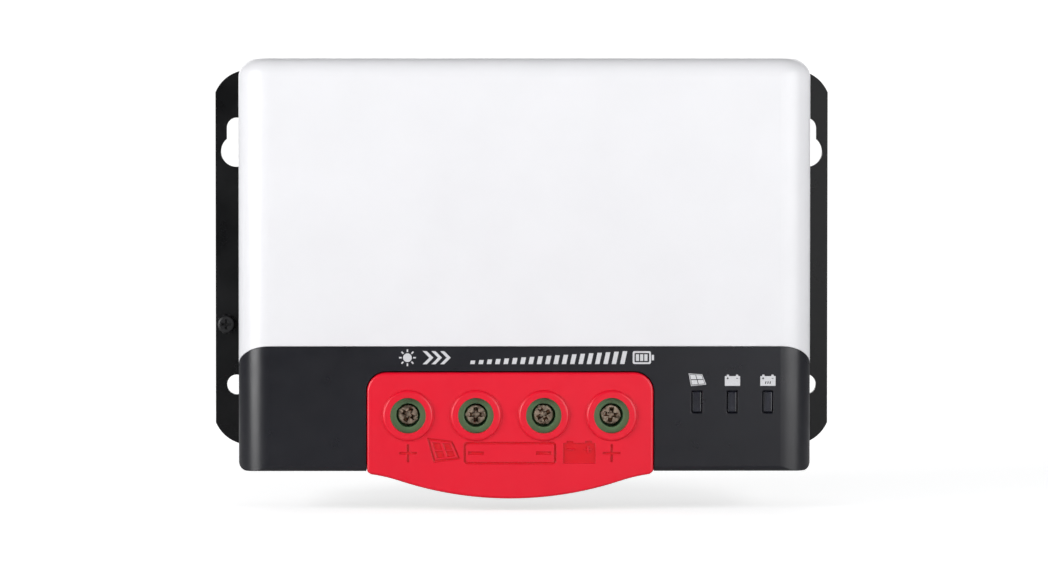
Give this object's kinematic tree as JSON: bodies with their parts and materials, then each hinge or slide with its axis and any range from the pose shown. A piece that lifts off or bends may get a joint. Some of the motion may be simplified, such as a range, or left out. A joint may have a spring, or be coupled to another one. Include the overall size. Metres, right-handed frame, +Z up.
{
  "type": "solar charge controller",
  "caption": "Wall-mounted solar charge controller: white and black covers on a finned heatsink, with screw terminals behind a red terminal cover.",
  "frame": {"origin": "on the wall plane, at the tip of the middle fin, behind the middle of the covers", "axes": "+X to the right as seen from the front, +Y into the wall, +Z up; the front faces -Y"},
  "size_m": [0.2154, 0.0603, 0.1473],
  "materials": {
    "white_shell": "fine satin moulded ABS",
    "black_shell": "fine satin moulded ABS",
    "red_cover": "smooth moulded ABS",
    "black_anodised": "black anodised aluminium extrusion",
    "zinc_screw": "zinc-plated steel",
    "black_screw": "black-oxide steel",
    "terminal_screw": "dull nickel-plated steel",
    "cage_brass": "nickel-flashed brass",
    "terminal_green": "moulded polyamide",
    "tin_contact": "tinned copper",
    "gold_contact": "gold-flashed phosphor bronze",
    "smoked_lens": "smoked clear polycarbonate",
    "led_lens": "white package with a clear dome",
    "port_plastic": "black polybutylene jack",
    "socket_plastic": "natural nylon header",
    "switch_plastic": "black switch body",
    "button_plastic": "grey moulded key",
    "circuit_board": "green solder mask on glass epoxy",
    "nickel_brass": "nickel-plated brass",
    "toroid_core": "epoxy-coated powdered iron",
    "enamelled_wire": "enamelled copper wire",
    "capacitor_can": "sleeved aluminium can",
    "package_epoxy": "moulded epoxy package",
    "thermal_sheet": "grey silicone sheet",
    "shunt_alloy": "copper-nickel strip"
  },
  "bodies": {
    "housing": {"upper_cover": "white_shell", "lower_cover": "black_shell", "terminal_cover": "red_cover", "heatsink": "black_anodised", "cover_screws": "zinc_screw", "earth_screw": "black_screw", "earth_washer": "black_screw", "status_leds": "led_lens", "data_port": "port_plastic", "data_port_contacts": "gold_contact", "sensor_socket": "socket_plastic", "sensor_pins": "tin_contact", "tact_switch": "switch_plastic", "main_board": "circuit_board", "board_standoffs": "nickel_brass", "board_screws": "zinc_screw", "inductor_core": "toroid_core", "inductor_winding": "enamelled_wire", "input_capacitors": "capacitor_can", "output_capacitors": "capacitor_can", "power_transistors": "package_epoxy", "transistor_screws": "zinc_screw", "thermal_pad": "thermal_sheet", "current_shunts": "shunt_alloy", "control_chip": "package_epoxy", "terminal_block_1": "terminal_green", "contact_bar_1": "tin_contact", "terminal_block_2": "terminal_green", "contact_bar_2": "tin_contact", "terminal_block_3": "terminal_green", "contact_bar_3": "tin_contact", "terminal_block_4": "terminal_green", "contact_bar_4": "tin_contact", "light_pipe_solar": "smoked_lens", "light_pipe_battery": "smoked_lens", "light_pipe_type": "smoked_lens"},
    "button": {"set_button": "button_plastic"},
    "screw_1": {"terminal_screw_1": "terminal_screw"},
    "cage_1": {"wire_cage_1": "cage_brass"},
    "screw_2": {"terminal_screw_2": "terminal_screw"},
    "cage_2": {"wire_cage_2": "cage_brass"},
    "screw_3": {"terminal_screw_3": "terminal_screw"},
    "cage_3": {"wire_cage_3": "cage_brass"},
    "screw_4": {"terminal_screw_4": "terminal_screw"},
    "cage_4": {"wire_cage_4": "cage_brass"}
  },
  "joints": [
    {"name": "wire_cage_1_lift", "type": "slide", "parent": "housing", "child": "cage_1", "axis": [0, -1, 0], "range_m": [0, 0.0063]},
    {"name": "terminal_screw_1_turn", "type": "hinge", "parent": "housing", "child": "screw_1", "pos_m": [-0.0391, -0.0513, -0.0504], "axis": [0, 1, 0], "range_deg": [0, 3240]},
    {"name": "wire_cage_2_lift", "type": "slide", "parent": "housing", "child": "cage_2", "axis": [0, -1, 0], "range_m": [0, 0.0063]},
    {"name": "terminal_screw_2_turn", "type": "hinge", "parent": "housing", "child": "screw_2", "pos_m": [-0.01645, -0.0513, -0.0504], "axis": [0, 1, 0], "range_deg": [0, 3240]},
    {"name": "wire_cage_3_lift", "type": "slide", "parent": "housing", "child": "cage_3", "axis": [0, -1, 0], "range_m": [0, 0.0063]},
    {"name": "terminal_screw_3_turn", "type": "hinge", "parent": "housing", "child": "screw_3", "pos_m": [0.00619, -0.0513, -0.0504], "axis": [0, 1, 0], "range_deg": [0, 3240]},
    {"name": "wire_cage_4_lift", "type": "slide", "parent": "housing", "child": "cage_4", "axis": [0, -1, 0], "range_m": [0, 0.0063]},
    {"name": "terminal_screw_4_turn", "type": "hinge", "parent": "housing", "child": "screw_4", "pos_m": [0.02884, -0.0513, -0.0504], "axis": [0, 1, 0], "range_deg": [0, 3240]},
    {"name": "set_button_press", "type": "slide", "parent": "housing", "child": "button", "axis": [0, 0, 1], "range_m": [0, 0.0005], "stiffness_N_per_m": 800, "springref_m": -0.001}
  ],
  "couplings": [
    {"joint": "terminal_screw_1_turn", "follows": "wire_cage_1_lift", "rad_per_m": 8976},
    {"joint": "terminal_screw_2_turn", "follows": "wire_cage_2_lift", "rad_per_m": 8976},
    {"joint": "terminal_screw_3_turn", "follows": "wire_cage_3_lift", "rad_per_m": 8976},
    {"joint": "terminal_screw_4_turn", "follows": "wire_cage_4_lift", "rad_per_m": 8976}
  ]
}
